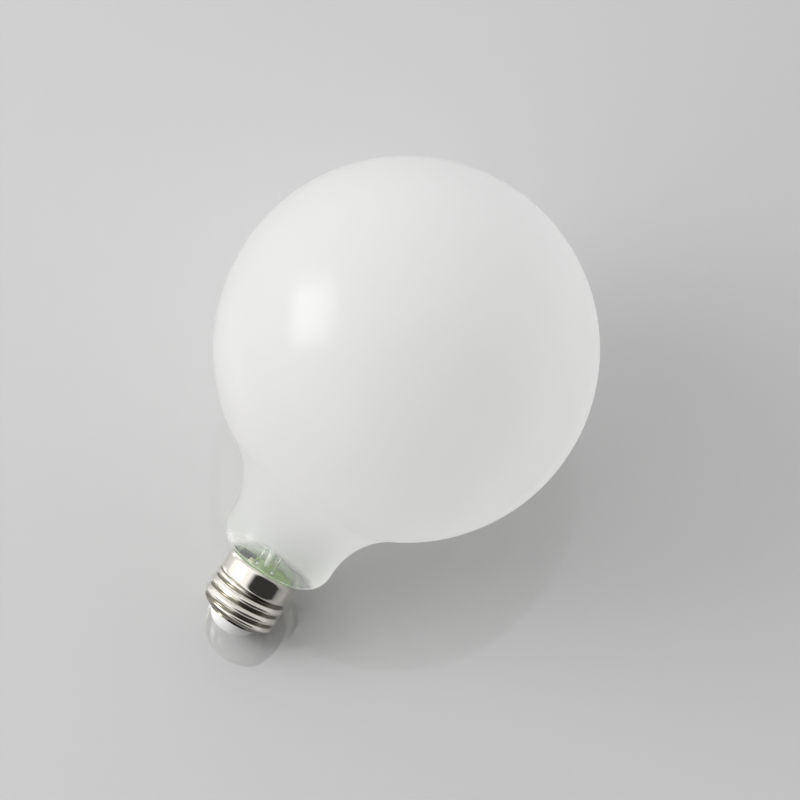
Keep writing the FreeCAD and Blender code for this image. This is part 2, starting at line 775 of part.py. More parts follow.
def wire_solid(points, radius, bend):
    """A round wire along straight runs that meet in tangent arcs."""
    edges = []
    here = points[0]
    for before, corner, after in zip(points, points[1:], points[2:]):
        back, onward = before - corner, after - corner
        back.normalize()
        onward.normalize()
        half_angle = back.getAngle(onward) / 2
        trim = bend / math.tan(half_angle)
        middle = back + onward
        middle.normalize()
        centre = corner + middle * (bend / math.sin(half_angle))
        enter, leave = corner + back * trim, corner + onward * trim
        crown = centre - middle * bend
        edges.append(Part.LineSegment(here, enter).toShape())
        edges.append(Part.Arc(enter, crown, leave).toShape())
        here = leave
    edges.append(Part.LineSegment(here, points[-1]).toShape())
    circle = Part.Circle(points[0], points[1] - points[0], radius).toShape()
    return Part.Wire(edges).makePipeShell([Part.Wire([circle])], True, True)


def add_wire(label, shape):
    piece = doc.addObject("Part::Feature", label)
    piece.Label = label
    piece.Shape = shape
    bodies.append(piece)


def make_lead_wire(label, side):
    """From below the board through the stem and the pinch, out to a bar that holds two filaments."""
    offset = side * size.lead_offset.value
    reach = side * size.filament_low_offset.value
    radius = size.lead_radius.value
    bend_depth = (pinch_top - size.lead_rise).value
    bar_depth = crossbar_depth.value
    riser = wire_solid([
        FreeCAD.Vector(0, offset, -(board_bottom + size.lead_tail).value),
        FreeCAD.Vector(0, offset, -bend_depth),
        FreeCAD.Vector(0, reach, -bar_depth),
    ], radius, size.lead_bend.value)
    half_bar = (size.filament_low_offset + size.bar_end).value
    bar = Part.makeCylinder(radius, half_bar * 2, FreeCAD.Vector(-half_bar, reach, -bar_depth),
                            FreeCAD.Vector(1, 0, 0))
    add_wire(label, riser.fuse(bar).removeSplitter())


def make_contact_lead():
    """From the fusible resistor's lower lead into the insulator's hole, beside the contact's shank."""
    radius = size.part_lead_radius.value
    resistor_end = resistor_bottom.value
    start_x = -size.resistor_offset.value
    hole_x = -(size.shank_radius.value + size.insulator_bore.value) / 2
    turn_depth = (collar_seat - size.insulator_collar_height - size.part_lead_radius * 2).value
    half_way = (resistor_end + turn_depth) / 2
    add_wire("contact_lead", wire_solid([
        FreeCAD.Vector(start_x, 0, -resistor_end),
        FreeCAD.Vector(start_x, 0, -half_way),
        FreeCAD.Vector(hole_x, 0, -turn_depth),
        FreeCAD.Vector(hole_x, 0, -(insulator_end.value - radius)),
    ], radius, size.part_lead_bend.value))


def make_shell_lead():
    """From the board, round the stem's lip and down the inside of the shell, which pinches it."""
    radius = size.part_lead_radius
    start_y = (board_radius - radius * 2).value
    wall_y = (root_radius - size.sheet_wall - size.seal_gap - radius).value
    drop_depth = collar_end + size.stem_lip + size.shell_lead_drop
    slant_depth = drop_depth + size.shell_lead_slant
    run_depth = slant_depth + size.shell_lead_run
    add_wire("shell_lead", wire_solid([
        FreeCAD.Vector(0, -start_y, -board_bottom.value),
        FreeCAD.Vector(0, -start_y, -drop_depth.value),
        FreeCAD.Vector(0, -wall_y, -slant_depth.value),
        FreeCAD.Vector(0, -wall_y, -run_depth.value),
    ], radius.value, size.part_lead_bend.value))


make_envelope()
make_stem()
make_exhaust_tube()
make_post()
make_board()
make_insulator()
make_contact()
make_cement()
make_anchor()
shell = make_shell()

# Pieces with a place of their own along or beside the axis. What hangs under the board is turned over.
turned_over = FreeCAD.Rotation(FreeCAD.Vector(1, 0, 0), 180)
placed = [make_capacitor()]
for number, side in ((1, 1), (2, -1)):
    placed.append(make_solder("lead_solder_%d" % number, side))
    make_lead_wire("lead_wire_%d" % number, side)
make_contact_lead()
make_shell_lead()

resistor = make_spindle("fusible_resistor", size.resistor_radius, size.part_lead_radius,
                        size.resistor_lead, resistor_span)
placed.append((resistor, FreeCAD.Vector(-size.resistor_offset.value, 0, -resistor_bottom.value)))

chip = make_flat_part("driver_chip", size.chip_width, size.chip_length, size.chip_height)
placed.append((chip, FreeCAD.Vector(0, size.chip_offset.value, -board_top.value)))

ceramic = make_block("ceramic_capacitor", size.ceramic_length, size.ceramic_width, size.ceramic_height)
placed.append((ceramic, FreeCAD.Vector(-size.ceramic_side.value, size.ceramic_offset.value,
                                       -board_top.value)))

# The thread starts a little before the side that faces the floor, and local +X is that side.
spin = {
    shell.Label: FreeCAD.Rotation(FreeCAD.Vector(0, 0, 1), -size.thread_lead_in.value),
    "smoothing_capacitor": turned_over,
    "bridge_rectifier": turned_over,
}

rectifier = make_flat_part("bridge_rectifier", size.rectifier_length, size.rectifier_width,
                           size.rectifier_height)
placed.append((rectifier, FreeCAD.Vector(0, -size.rectifier_offset.value, -board_bottom.value)))

# Four filaments lean in from the crossbars to the arms of the anchor.
for number, (side_x, side_y) in enumerate(((1, 1), (-1, 1), (-1, -1), (1, -1)), start=1):
    filament = make_spindle("led_filament_%d" % number, size.filament_radius,
                            size.filament_tab_radius, size.filament_tab, filament_length)
    low, high = size.filament_low_offset.value, size.filament_high_offset.value
    foot = FreeCAD.Vector(side_x * low, side_y * low, -filament_bottom.value)
    head = FreeCAD.Vector(side_x * high, side_y * high, -filament_top.value)
    placed.append((filament, foot))
    spin[filament.Label] = FreeCAD.Rotation(FreeCAD.Vector(0, 0, 1), head - foot)


def lying_angle():
    """The angle between the floor and the axis at which the thread or another edge first touches."""
    edges = [
        (thread_edge, crest_radius),
        (rim, rim_radius),
        (flat_end, root_radius - size.shell_rounding),
        (insulator_end, size.insulator_end_radius),
        (insulator_end + size.contact_edge, size.contact_radius),
    ]
    angles = []
    for depth, radius in edges:
        reach = math.hypot(depth.value, radius.value + size.rest_clearance.value)
        angles.append(math.asin(size.globe_radius.value / reach)
                      - math.atan2(radius.value + size.rest_clearance.value, depth.value))
    return min(angles)


# The laid-down bulb: the cap points to -X, and the origin is under the middle of its whole length.
lean = lying_angle()
bulge = size.insulator_bulge.value
side_drop = min(bulge * math.cos(lean), (insulator_end - side_centre_depth).value)
side_out = math.sqrt(bulge * bulge - side_drop * side_drop)
reaches = [
    depth.value * math.cos(lean) + radius.value * math.sin(lean)
    for depth, radius in (
        (side_centre_depth + side_drop, side_centre_x + side_out),
        (insulator_end + size.contact_edge, size.contact_radius),
        (thread_edge, crest_radius),
    )
]
centre_x = (max(reaches) - size.globe_radius.value) / 2
laid_down = FreeCAD.Placement(
    FreeCAD.Vector(centre_x, 0, size.globe_radius.value),
    FreeCAD.Rotation(FreeCAD.Vector(0, 1, 0), 90 - math.degrees(lean)),
)

places = {piece.Label: place for piece, place in placed}
for body in bodies:
    own_place = places.get(body.Label, FreeCAD.Vector(0, 0, 0))
    own_turn = spin.get(body.Label, FreeCAD.Rotation())
    body.Placement = laid_down.multiply(FreeCAD.Placement(own_place, own_turn))

doc.recompute()

for item in doc.Objects:
    if "Invalid" in item.State or "Error" in item.State:
        raise RuntimeError("%s was not built: %s" % (item.Label, item.State))
for body in bodies:
    if body.Shape.isNull() or not body.Shape.isValid():
        raise RuntimeError("%s has no valid solid" % body.Label)

os.makedirs("parts", exist_ok=True)
for body in bodies:
    body.Shape.exportStep("parts/%s.step" % body.Label)
print("lean %.2f degrees, globe centre at x %.3f" % (math.degrees(lean), centre_x))
print("%d pieces written" % len(bodies))
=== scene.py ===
# %% [markdown]
# # A large globe bulb, lying on its side
#
# The bulb is a milky glass globe with a short clear end and a nickel screw cap. The solids of all
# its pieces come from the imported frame. Here they get their finish, and the two pieces that carry
# the look, the blown glass and the rolled shell, are made again as finer meshes in the same place.
#
# Lengths are in metres, as Blender has them, so MM turns millimetres into them.

# %% Load the frame
import json
import math

import bmesh
import bpy
from mathutils import Matrix, Vector


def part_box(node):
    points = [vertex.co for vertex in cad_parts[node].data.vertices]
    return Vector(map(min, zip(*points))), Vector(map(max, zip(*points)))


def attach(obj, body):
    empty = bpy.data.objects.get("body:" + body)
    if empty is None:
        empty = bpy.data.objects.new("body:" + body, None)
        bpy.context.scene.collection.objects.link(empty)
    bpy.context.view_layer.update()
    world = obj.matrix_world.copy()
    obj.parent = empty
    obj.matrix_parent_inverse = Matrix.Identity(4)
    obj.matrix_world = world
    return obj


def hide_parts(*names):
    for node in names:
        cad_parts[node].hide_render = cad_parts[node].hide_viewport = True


MM = 0.001

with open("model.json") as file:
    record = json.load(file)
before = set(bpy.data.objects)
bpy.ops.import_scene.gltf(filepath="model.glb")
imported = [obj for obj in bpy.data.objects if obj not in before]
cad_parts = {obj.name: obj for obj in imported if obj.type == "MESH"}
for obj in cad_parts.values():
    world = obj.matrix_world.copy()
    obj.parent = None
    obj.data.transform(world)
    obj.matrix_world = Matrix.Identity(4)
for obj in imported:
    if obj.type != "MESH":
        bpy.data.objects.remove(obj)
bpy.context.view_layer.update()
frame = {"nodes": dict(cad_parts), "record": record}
nodes = frame["nodes"]

# %% [markdown]
# ## Where the bulb lies
#
# Everything on a bulb is round about one axis, so the axis is worked out once. It could be typed in
# as numbers, but then it would go wrong when the solids change. So it is read from them: the
# globe's box gives its radius and centre, and the record gives the cap's mount, which points out
# along the axis.
#
# Each piece is then placed by a depth below the globe's centre, a distance from the axis and an
# angle round it.

# %% Find the bulb's own axis
globe_low, globe_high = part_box("glass_envelope")
globe_radius = globe_high.y
globe_centre = Vector((globe_high.x - globe_radius, 0, globe_radius))
cap_mount = next(m for m in frame["record"]["mounts"] if m["name"] == "screw_cap")
down_axis = Vector(cap_mount["axis"]).normalized()
rim_depth = (Vector(cap_mount["pos_m"]) - globe_centre).dot(down_axis)
floor_side = Vector((-down_axis.z, 0, down_axis.x))
left_side = Vector((0, 1, 0))


def on_axis(depth):
    return globe_centre + down_axis * depth


def place(radius, depth, angle):
    """A point at a distance from the axis. Angle 0 faces the floor and a quarter turn faces +Y."""
    return on_axis(depth) + (floor_side * math.cos(angle) + left_side * math.sin(angle)) * radius


print("globe radius %.1f mm, cap rim at depth %.1f mm" % (globe_radius / MM, rim_depth / MM))

# %% [markdown]
# ## The camera
#
# The photograph is taken from high above, about 68 degrees over the floor, with a long lens and a
# small tilt of the horizon. The camera is made first, because every later choice is judged through
# it.
#
# Blender could aim it with a Track To constraint. Here it gets its place and turn as one matrix,
# because the tilt is part of the photograph too, and the lamp is aimed by the same helper later.

# %% Directions and aims
def direction_of(azimuth, elevation):
    """The way from the bulb to something. At azimuth 0 it stands at -Y, and looks along +Y."""
    flat = math.cos(elevation)
    return Vector((math.sin(azimuth) * flat, -math.cos(azimuth) * flat, math.sin(elevation)))


def aimed(spot, right, up, back):
    """The matrix of a camera or lamp at a spot, which looks away from its back."""
    return Matrix.Translation(spot) @ Matrix((right, up, back)).transposed().to_4x4()


print("straight above is", [round(v, 2) for v in direction_of(0, math.radians(90))])

# %% Set up the camera
FRAME_PIXELS = 800
FOCAL_PIXELS = 7070
SENSOR_WIDTH = 36
CAMERA_ELEVATION = math.radians(68.2)
CAMERA_AZIMUTH = math.radians(-58.6)
CAMERA_ROLL = math.radians(5.6)
CAMERA_DISTANCE = 2.3
CAMERA_TARGET = Vector((0.00984, -0.00419, 0.040))
NEAREST_SEEN = 0.05
FARTHEST_SEEN = 50

camera_data = bpy.data.cameras.new("photo_camera")
camera_data.sensor_width = SENSOR_WIDTH
camera_data.lens = FOCAL_PIXELS * SENSOR_WIDTH / FRAME_PIXELS
camera_data.clip_start = NEAREST_SEEN
camera_data.clip_end = FARTHEST_SEEN
camera = bpy.data.objects.new("photo_camera", camera_data)
bpy.context.scene.collection.objects.link(camera)
bpy.context.scene.camera = camera

camera_back = direction_of(CAMERA_AZIMUTH, CAMERA_ELEVATION)
level_right = Vector((math.cos(CAMERA_AZIMUTH), math.sin(CAMERA_AZIMUTH), 0))
level_up = camera_back.cross(level_right)
camera_right = level_right * math.cos(CAMERA_ROLL) + level_up * math.sin(CAMERA_ROLL)
camera_up = camera_back.cross(camera_right)
camera_spot = CAMERA_TARGET + camera_back * CAMERA_DISTANCE
camera.matrix_world = aimed(camera_spot, camera_right, camera_up, camera_back)
print("camera at", [round(v, 3) for v in camera_spot])

# %% [markdown]
# ## Turning an outline about the axis
#
# Glass is blown and sheet metal is pressed round an axis. Blender's Screw or Spin tool would turn
# an outline into such a shape. A small lathe of our own is used instead, because it can also move
# each point in or out as it turns, which is how the thread is made later.
#
# An outline is a list of points, each a distance from the axis and a depth. It is repeated at even
# angles, and the rings are joined with quads. Where the outline meets the axis, a ring is one
# point.

# %% Points on an arc
def arc_points(centre, radius, start, end, count):
    """Points on an arc in the (distance, depth) plane. Angles are in degrees, 0 points outward."""
    points = []
    for index in range(count + 1):
        angle = math.radians(start + (end - start) * index / count)
        points.append((centre[0] + radius * math.cos(angle), centre[1] + radius * math.sin(angle)))
    return points


quarter = arc_points((0, 0), 1.0, 0, 90, 2)
print("a quarter arc in two steps:", [(round(x, 2), round(y, 2)) for x, y in quarter])

# %% The lathe
SHARP_ANGLE = math.radians(40)
ON_THE_AXIS = 1e-7


def join_rings(mesh, first, second):
    """Quads between two rings, or triangles where one of them is a point."""
    around = max(len(first), len(second))
    for step in range(around if around > 1 else 0):
        after = (step + 1) % around
        if len(first) == 1:
            mesh.faces.new((first[0], second[after], second[step]))
        elif len(second) == 1:
            mesh.faces.new((first[step], first[after], second[0]))
        else:
            mesh.faces.new((first[step], first[after], second[after], second[step]))


def lathe(name, outline, around, rolled=None, closed=True):
    """Turns an outline all the way round the bulb's axis. The rolled function moves its points."""
    mesh = bmesh.new()
    rings = []
    for radius, depth in outline:
        if radius < ON_THE_AXIS:
            rings.append([mesh.verts.new(on_axis(depth))])
            continue
        ring = []
        for step in range(around):
            angle = 2 * math.pi * step / around
            shift = rolled(radius, depth, angle) if rolled else 0.0
            ring.append(mesh.verts.new(place(radius + shift, depth, angle)))
        rings.append(ring)
    pairs = list(zip(rings, rings[1:] + rings[:1]))
    if not closed:
        pairs.pop()
    for first, second in pairs:
        join_rings(mesh, first, second)
    bmesh.ops.recalc_face_normals(mesh, faces=mesh.faces)
    data = bpy.data.meshes.new(name)
    mesh.to_mesh(data)
    mesh.free()
    data.shade_smooth()
    data.set_sharp_from_angle(angle=SHARP_ANGLE)
    piece = bpy.data.objects.new(name, data)
    bpy.context.scene.collection.objects.link(piece)
    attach(piece, "root")
    print(name, "faces:", len(data.polygons))
    return piece


print("edges sharper than %.0f degrees stay sharp" % math.degrees(SHARP_ANGLE))

# %% [markdown]
# ## The glass outline
#
# The blown glass is one even wall: the globe, a hollow shoulder, a short neck, a full rounding and
# a collar that goes into the cap. It could be drawn by hand as a curve with handles. Arcs are
# better here, because the arc of the shoulder has to touch both the globe and the neck, so its
# centre follows from their radii and no point of the outline is guessed.
#
# The same function gives both faces of the wall: the inset is 0 outside, and the wall's thickness
# inside.

# %% Outline of the glass
GLASS_WALL = 0.8 * MM
SHOULDER_RADIUS = 25.5 * MM
NECK_RADIUS = 19.4 * MM
NECK_LENGTH = 1.4 * MM
NECK_ROUNDING = 8.0 * MM
COLLAR_RADIUS = 12.0 * MM
COLLAR_LENGTH = 5.2 * MM
SHOULDER_STEPS = 20
ROUNDING_STEPS = 22

shoulder_x = NECK_RADIUS + SHOULDER_RADIUS
neck_top = math.sqrt((globe_radius + SHOULDER_RADIUS) ** 2 - shoulder_x ** 2)
neck_end = neck_top + NECK_LENGTH
touch_angle = math.degrees(math.atan2(neck_top, shoulder_x))


def glass_side(inset, globe_steps):
    """One face of the wall, from the crown down to the collar's end."""
    rounding_centre = (NECK_RADIUS - NECK_ROUNDING, neck_end)
    rounding = NECK_ROUNDING - inset
    collar = COLLAR_RADIUS - inset
    collar_angle = math.degrees(math.acos((collar - rounding_centre[0]) / rounding))
    points = arc_points((0, 0), globe_radius - inset, -90, touch_angle, globe_steps)
    points[0] = (0.0, -(globe_radius - inset))
    shoulder_centre = (shoulder_x, neck_top)
    shoulder = SHOULDER_RADIUS + inset
    points += arc_points(shoulder_centre, shoulder, 180 + touch_angle, 180, SHOULDER_STEPS)[1:]
    points += arc_points(rounding_centre, rounding, 0, collar_angle, ROUNDING_STEPS)
    points.append((collar, rim_depth + COLLAR_LENGTH))
    return points


print("neck from depth %.1f to %.1f mm" % (neck_top / MM, neck_end / MM))

# %% [markdown]
# ## Sums inside a material
#
# A finish often changes from place to place, and in Blender such a change is worked out by small
# nodes that are linked to each other. Written out, every node takes four or five lines. These
# helpers make one node each and return its output, so that a sum reads nearly as it would on paper.

# %% Helpers for node sums
def feed(tree, node, values):
    """Fills a node's inputs in order. Another node's output is linked, anything else is set."""
    for socket, value in zip(node.inputs, values):
        if isinstance(value, bpy.types.NodeSocket):
            tree.links.new(value, socket)
        else:
            socket.default_value = value


def calculate(tree, operation, *values):
    node = tree.nodes.new("ShaderNodeMath")
    node.operation = operation
    feed(tree, node, values)
    return node.outputs["Value"]


def calculate_vector(tree, operation, *values):
    node = tree.nodes.new("ShaderNodeVectorMath")
    node.operation = operation
    feed(tree, node, values)
    return node.outputs["Value" if operation in ("DOT_PRODUCT", "LENGTH") else "Vector"]


print("sums:", calculate.__name__, "and", calculate_vector.__name__)


# %% Helpers for spans, places and noise
def remap(tree, value, source=(0.0, 1.0), target=(0.0, 1.0), soft=False):
    """Turns one span of values into another and holds it beyond the ends, softly if asked."""
    node = tree.nodes.new("ShaderNodeMapRange")
    if soft:
        node.interpolation_type = "SMOOTHSTEP"
    feed(tree, node, (value, *source, *target))
    return node.outputs["Result"]


def own_place(tree):
    """Where a point of the surface lies, in the coordinates of its own object."""
    return tree.nodes.new("ShaderNodeTexCoord").outputs["Object"]


def add_noise(tree, scale, detail=3.0):
    texture = tree.nodes.new("ShaderNodeTexNoise")
    texture.inputs["Scale"].default_value = scale
    texture.inputs["Detail"].default_value = detail
    tree.links.new(own_place(tree), texture.inputs["Vector"])
    return texture.outputs["Fac"]


print("changes from place to place:", remap.__name__, "and", add_noise.__name__)

# %% [markdown]
# ## Where the coat ends
#
# The bulb is coated inside with a fine white powder, which stops just above the cap. Its edge is
# not level: on the side that the photograph shows, the glass is clear for a few millimetres more.
# The glass could be cut into a milky and a clear mesh there, but the real edge is soft. So one mesh
# keeps both, and a number for each point says how clear it is.
#
# That number comes from a depth along an axis that leans a little off the bulb's own. Noise makes
# the edge uneven, a little haze stays on the clear part, and where the wall is seen edge on it
# looks hazier.

# %% How clear the glass is
COAT_DEPTH = 84.6 * MM
COAT_FADE = 2.8 * MM
COAT_LEAN_DOWN = 0.47
COAT_LEAN_LEFT = 0.09
COAT_UNEVENNESS = 1.6 * MM
COAT_NOISE = 120
HAZE_LEFT = 0.06
EDGE_HAZE_SPAN = (0.70, 0.95)
EDGE_HAZE_SHARE = (1.0, 0.3)

coat_axis = down_axis - floor_side * COAT_LEAN_DOWN - left_side * COAT_LEAN_LEFT


def coat_depth_here(tree):
    """How far below the globe's centre a point lies, along the leaning axis."""
    along_axis = calculate_vector(tree, "DOT_PRODUCT", own_place(tree), coat_axis)
    return calculate(tree, "SUBTRACT", along_axis, globe_centre.dot(coat_axis))


def edge_on(tree):
    """0 where a surface is seen straight on, and 1 where it is seen along its edge."""
    return tree.nodes.new("ShaderNodeLayerWeight").outputs["Facing"]


def clear_share(tree):
    """0 where the glass is coated and 1 where it is clear."""
    noise = add_noise(tree, COAT_NOISE)
    uneven_depth = calculate(tree, "MULTIPLY_ADD", noise, COAT_UNEVENNESS, coat_depth_here(tree))
    fade_span = (COAT_DEPTH, COAT_DEPTH + COAT_FADE)
    fade = remap(tree, uneven_depth, fade_span, (0.0, 1 - HAZE_LEFT), soft=True)
    edge_haze = remap(tree, edge_on(tree), EDGE_HAZE_SPAN, EDGE_HAZE_SHARE)
    return calculate(tree, "MULTIPLY", fade, edge_haze)


print("coat axis leans %.0f degrees" % math.degrees(coat_axis.angle(down_axis)))

# %% [markdown]
# ## Thin clear glass
#
# Blender's glass shader bends light at each face, and needs many bounces to get through the walls
# of the envelope, the stem and the tube. The real walls are so thin that they hardly bend the light
# at all. So clear glass lets it straight through with a faint tint, and mirrors more of it towards
# the edge, as glass does. That is quieter, quicker, and leaves what lies inside easy to see.
#
# A look into the clear end still crosses many such walls, so Blender is told to follow the light
# through more of them than usual.

# %% Clear glass from plain shaders
CLEAR_ROUGHNESS = 0.03
MIRRORED_STRAIGHT_ON = 0.04
MIRROR_STEEPNESS = 5.0
WALLS_SEEN_THROUGH = 32
WHITE = (1, 1, 1, 1)

bpy.context.scene.cycles.transparent_max_bounces = WALLS_SEEN_THROUGH


def plain_shader(tree, kind, colour=WHITE):
    shader = tree.nodes.new(kind)
    shader.inputs["Color"].default_value = colour
    return shader


def mix_shaders(tree, factor, first, second):
    mix = tree.nodes.new("ShaderNodeMixShader")
    feed(tree, mix, (factor, first, second))
    return mix.outputs["Shader"]


def thin_glass(tree, tint):
    """A thin clear wall: the light goes straight through, and the gloss grows towards the edge."""
    through = plain_shader(tree, "ShaderNodeBsdfTransparent", (*tint, 1))
    gloss = plain_shader(tree, "ShaderNodeBsdfGlossy")
    gloss.inputs["Roughness"].default_value = CLEAR_ROUGHNESS
    steep = calculate(tree, "POWER", edge_on(tree), MIRROR_STEEPNESS)
    more_at_edge = 1 - MIRRORED_STRAIGHT_ON
    mirrored = calculate(tree, "MULTIPLY_ADD", steep, more_at_edge, MIRRORED_STRAIGHT_ON)
    return mix_shaders(tree, mirrored, through.outputs["BSDF"], gloss.outputs["BSDF"])


print("light is followed through", WALLS_SEEN_THROUGH, "clear faces")

# %% [markdown]
# ## Milky glass
#
# The white coat both throws light back and lets light through, so the inside of the globe fills
# with light and its shading is very soft. Subsurface scattering would do that too, but it treats
# the globe as solid wax. A wall is nearer the truth: a mix of a diffuse shader, which throws the
# light back, and a translucent one, which passes it on to the other side. A part of the lamp's own
# light goes through as well, so the bulb's shadow on the floor stays pale. Over it all lies the
# smooth outer face of the glass.
#
# The wall's outer face carries this whole look, milky and clear, and its inner face lets all light
# by. If both were coated, the light would be held back twice.

# %% Start a material
def new_material(name):
    """A new material as Blender makes it. Returns it, its node tree and its Principled shader."""
    material = bpy.data.materials.new(name)
    material.use_nodes = True
    return material, material.node_tree, material.node_tree.nodes["Principled BSDF"]


def new_finish(name, colour, roughness, metallic=0.0, **sockets):
    """A material with its Principled shader set. Returns what new_material does."""
    material, tree, shader = new_material(name)
    shader.inputs["Base Color"].default_value = (*colour, 1)
    shader.inputs["Roughness"].default_value = roughness
    shader.inputs["Metallic"].default_value = metallic
    for socket, value in sockets.items():
        shader.inputs[socket.replace("_", " ")].default_value = value
    return material, tree, shader


def new_bare_finish(name):
    """A material without its Principled shader, for glass that is made from plainer ones."""
    material, tree, shader = new_material(name)
    tree.nodes.remove(shader)
    return material, tree


def show(tree, surface):
    """Makes this output the look of the material."""
    tree.links.new(surface, tree.nodes["Material Output"].inputs["Surface"])


print("materials so far:", len(bpy.data.materials))

# %% The two finishes of the envelope
MILK = (0.95, 0.95, 0.95)
MILK_ROUGHNESS = 0.12
MILK_GLOSS = 0.85
GLASS_IOR = 1.5
LIT_THROUGH = (0.98, 0.98, 0.98, 1)
LIGHT_SHARE_THROUGH = 0.74
LAMP_SHARE_THROUGH = 0.4
CLEAR_TINT = (0.985, 0.99, 0.985)

outer_glass, tree, shader = new_finish(
    "milky_glass_outside", MILK, MILK_ROUGHNESS, IOR=GLASS_IOR, Specular_IOR_Level=MILK_GLOSS)
lit_through = plain_shader(tree, "ShaderNodeBsdfTranslucent", LIT_THROUGH)
milky = mix_shaders(tree, LIGHT_SHARE_THROUGH, shader.outputs["BSDF"], lit_through.outputs["BSDF"])
for_lamp = tree.nodes.new("ShaderNodeLightPath").outputs["Is Shadow Ray"]
lamp_share = calculate(tree, "MULTIPLY", for_lamp, LAMP_SHARE_THROUGH)
lamp_light = plain_shader(tree, "ShaderNodeBsdfTransparent")
milky = mix_shaders(tree, lamp_share, milky, lamp_light.outputs["BSDF"])
show(tree, mix_shaders(tree, clear_share(tree), milky, thin_glass(tree, CLEAR_TINT)))

inner_glass, tree = new_bare_finish("milky_glass_inside")
show(tree, plain_shader(tree, "ShaderNodeBsdfTransparent").outputs["BSDF"])
print("finishes:", outer_glass.name, "and", inner_glass.name)

# %% [markdown]
# ## The glass envelope
#
# The wall's two faces are turned as one closed mesh, with the thickness of the real wall. A single
# skin with a Solidify modifier would look much the same from afar, but this way the wall is as
# thick in the clear end as it is in the solid. Only the collar's end joins the two faces, inside
# the cap.

# %% Make the glass envelope
GLASS_AROUND = 192
OUTER_GLOBE_STEPS = 90
INNER_GLOBE_STEPS = 60


def finish_both_sides(piece, outside, inside, outside_count):
    """Gives the first faces of a piece one finish, and the rest the other."""
    piece.data.materials.append(outside)
    piece.data.materials.append(inside)
    for index, face in enumerate(piece.data.polygons):
        face.material_index = 0 if index < outside_count else 1


outer_side = glass_side(0.0, OUTER_GLOBE_STEPS)
inner_side = glass_side(GLASS_WALL, INNER_GLOBE_STEPS)
envelope = lathe("globe_glass", outer_side + inner_side[::-1], GLASS_AROUND, closed=False)
finish_both_sides(envelope, outer_glass, inner_glass, (len(outer_side) - 1) * GLASS_AROUND)
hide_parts("glass_envelope")

# %% [markdown]
# ## The screw cap's shell
#
# The shell is thin sheet, rolled between two shaped wheels, so the wall keeps its thickness and the
# thread shows inside as well. A coil of round wire laid on a tube would give crests, but no such
# roots and no hollow inside. Here the lathe moves each point in or out by its depth and angle: a
# cosine gives the round crests and roots of a rolled thread, and a soft window lets the thread run
# in and out.

# %% Sizes of the shell
SHEET_WALL = 0.3 * MM
RIM_RADIUS = 13.0 * MM
RIM_FLARE = 0.9 * MM
BAND_RADIUS = 12.5 * MM
BAND_LENGTH = 7.0 * MM
BAND_TAPER = 0.8 * MM
ROOT_RADIUS = 12.1 * MM
CREST_RADIUS = 13.15 * MM
THREAD_PITCH = 3.629 * MM
THREAD_DEPTH = 16.5 * MM
THREAD_RUN_IN = 1.6 * MM
THREAD_RUN_OUT = (-1.2 * MM, 0.6 * MM)
SHELL_LENGTH = 19.4 * MM
SHELL_ROUNDING = 2.4 * MM
LIP_RADIUS = 8.4 * MM
LIP_LENGTH = 1.0 * MM
LIP_BEVEL = 0.15 * MM
TAPER_BEFORE_THREAD = 0.5
BEND_AFTER_THREAD = 0.55
FLARE_STEPS, BAND_STEPS, TAPER_STEPS, THREAD_STEPS, BEND_STEPS = 4, 6, 8, 90, 14

last_crest = rim_depth + THREAD_DEPTH
thread_first = rim_depth + BAND_LENGTH + BAND_TAPER * TAPER_BEFORE_THREAD
flat_end = rim_depth + SHELL_LENGTH
thread_last = flat_end - SHELL_ROUNDING * BEND_AFTER_THREAD
print("thread from depth %.1f to %.1f mm" % (thread_first / MM, thread_last / MM))


# %% Roll the thread
def smooth_step(value, low, high):
    share = min(1.0, max(0.0, (value - low) / (high - low)))
    return share * share * (3 - 2 * share)


def thread_roll(radius, depth, angle):
    """How far the thread stands out. It is right-handed: the crest comes nearer with the angle."""
    turns = (depth - last_crest) / THREAD_PITCH + angle / (2 * math.pi)
    wave = 0.5 + 0.5 * math.cos(2 * math.pi * turns)
    fade_in = smooth_step(depth, thread_first, thread_first + THREAD_RUN_IN)
    out_from, out_to = (thread_last + end for end in THREAD_RUN_OUT)
    window = fade_in * (1 - smooth_step(depth, out_from, out_to))
    return (CREST_RADIUS - ROOT_RADIUS) * wave * window


print("last crest stands out %.2f mm" % (thread_roll(ROOT_RADIUS, last_crest, 0.0) / MM))


# %% Outline of the sheet
def straight(start, end, count):
    """Even points on a line, without its end."""
    along = (end[0] - start[0], end[1] - start[1])
    return [
        (start[0] + along[0] * step / count, start[1] + along[1] * step / count)
        for step in range(count)
    ]


def shell_side(inset):
    """One face of the sheet, from the rim to the lip's end."""
    rim, band, root = RIM_RADIUS - inset, BAND_RADIUS - inset, ROOT_RADIUS - inset
    flare_end = rim_depth + RIM_FLARE
    band_end = rim_depth + BAND_LENGTH
    taper_end = band_end + BAND_TAPER
    bend_centre = (ROOT_RADIUS - SHELL_ROUNDING, flat_end - SHELL_ROUNDING)
    points = straight((rim, rim_depth), (band, flare_end), FLARE_STEPS)
    points += straight((band, flare_end), (band, band_end), BAND_STEPS)
    points += straight((band, band_end), (root, taper_end), TAPER_STEPS)
    points += straight((root, taper_end), (root, bend_centre[1]), THREAD_STEPS)
    points += arc_points(bend_centre, SHELL_ROUNDING - inset, 0, 90, BEND_STEPS)
    lip = LIP_RADIUS - inset
    points += [(lip + LIP_BEVEL, flat_end - inset), (lip, flat_end - inset + LIP_BEVEL)]
    points.append((lip, flat_end + LIP_LENGTH))
    return points


print("points on one face of the sheet:", len(shell_side(0.0)))

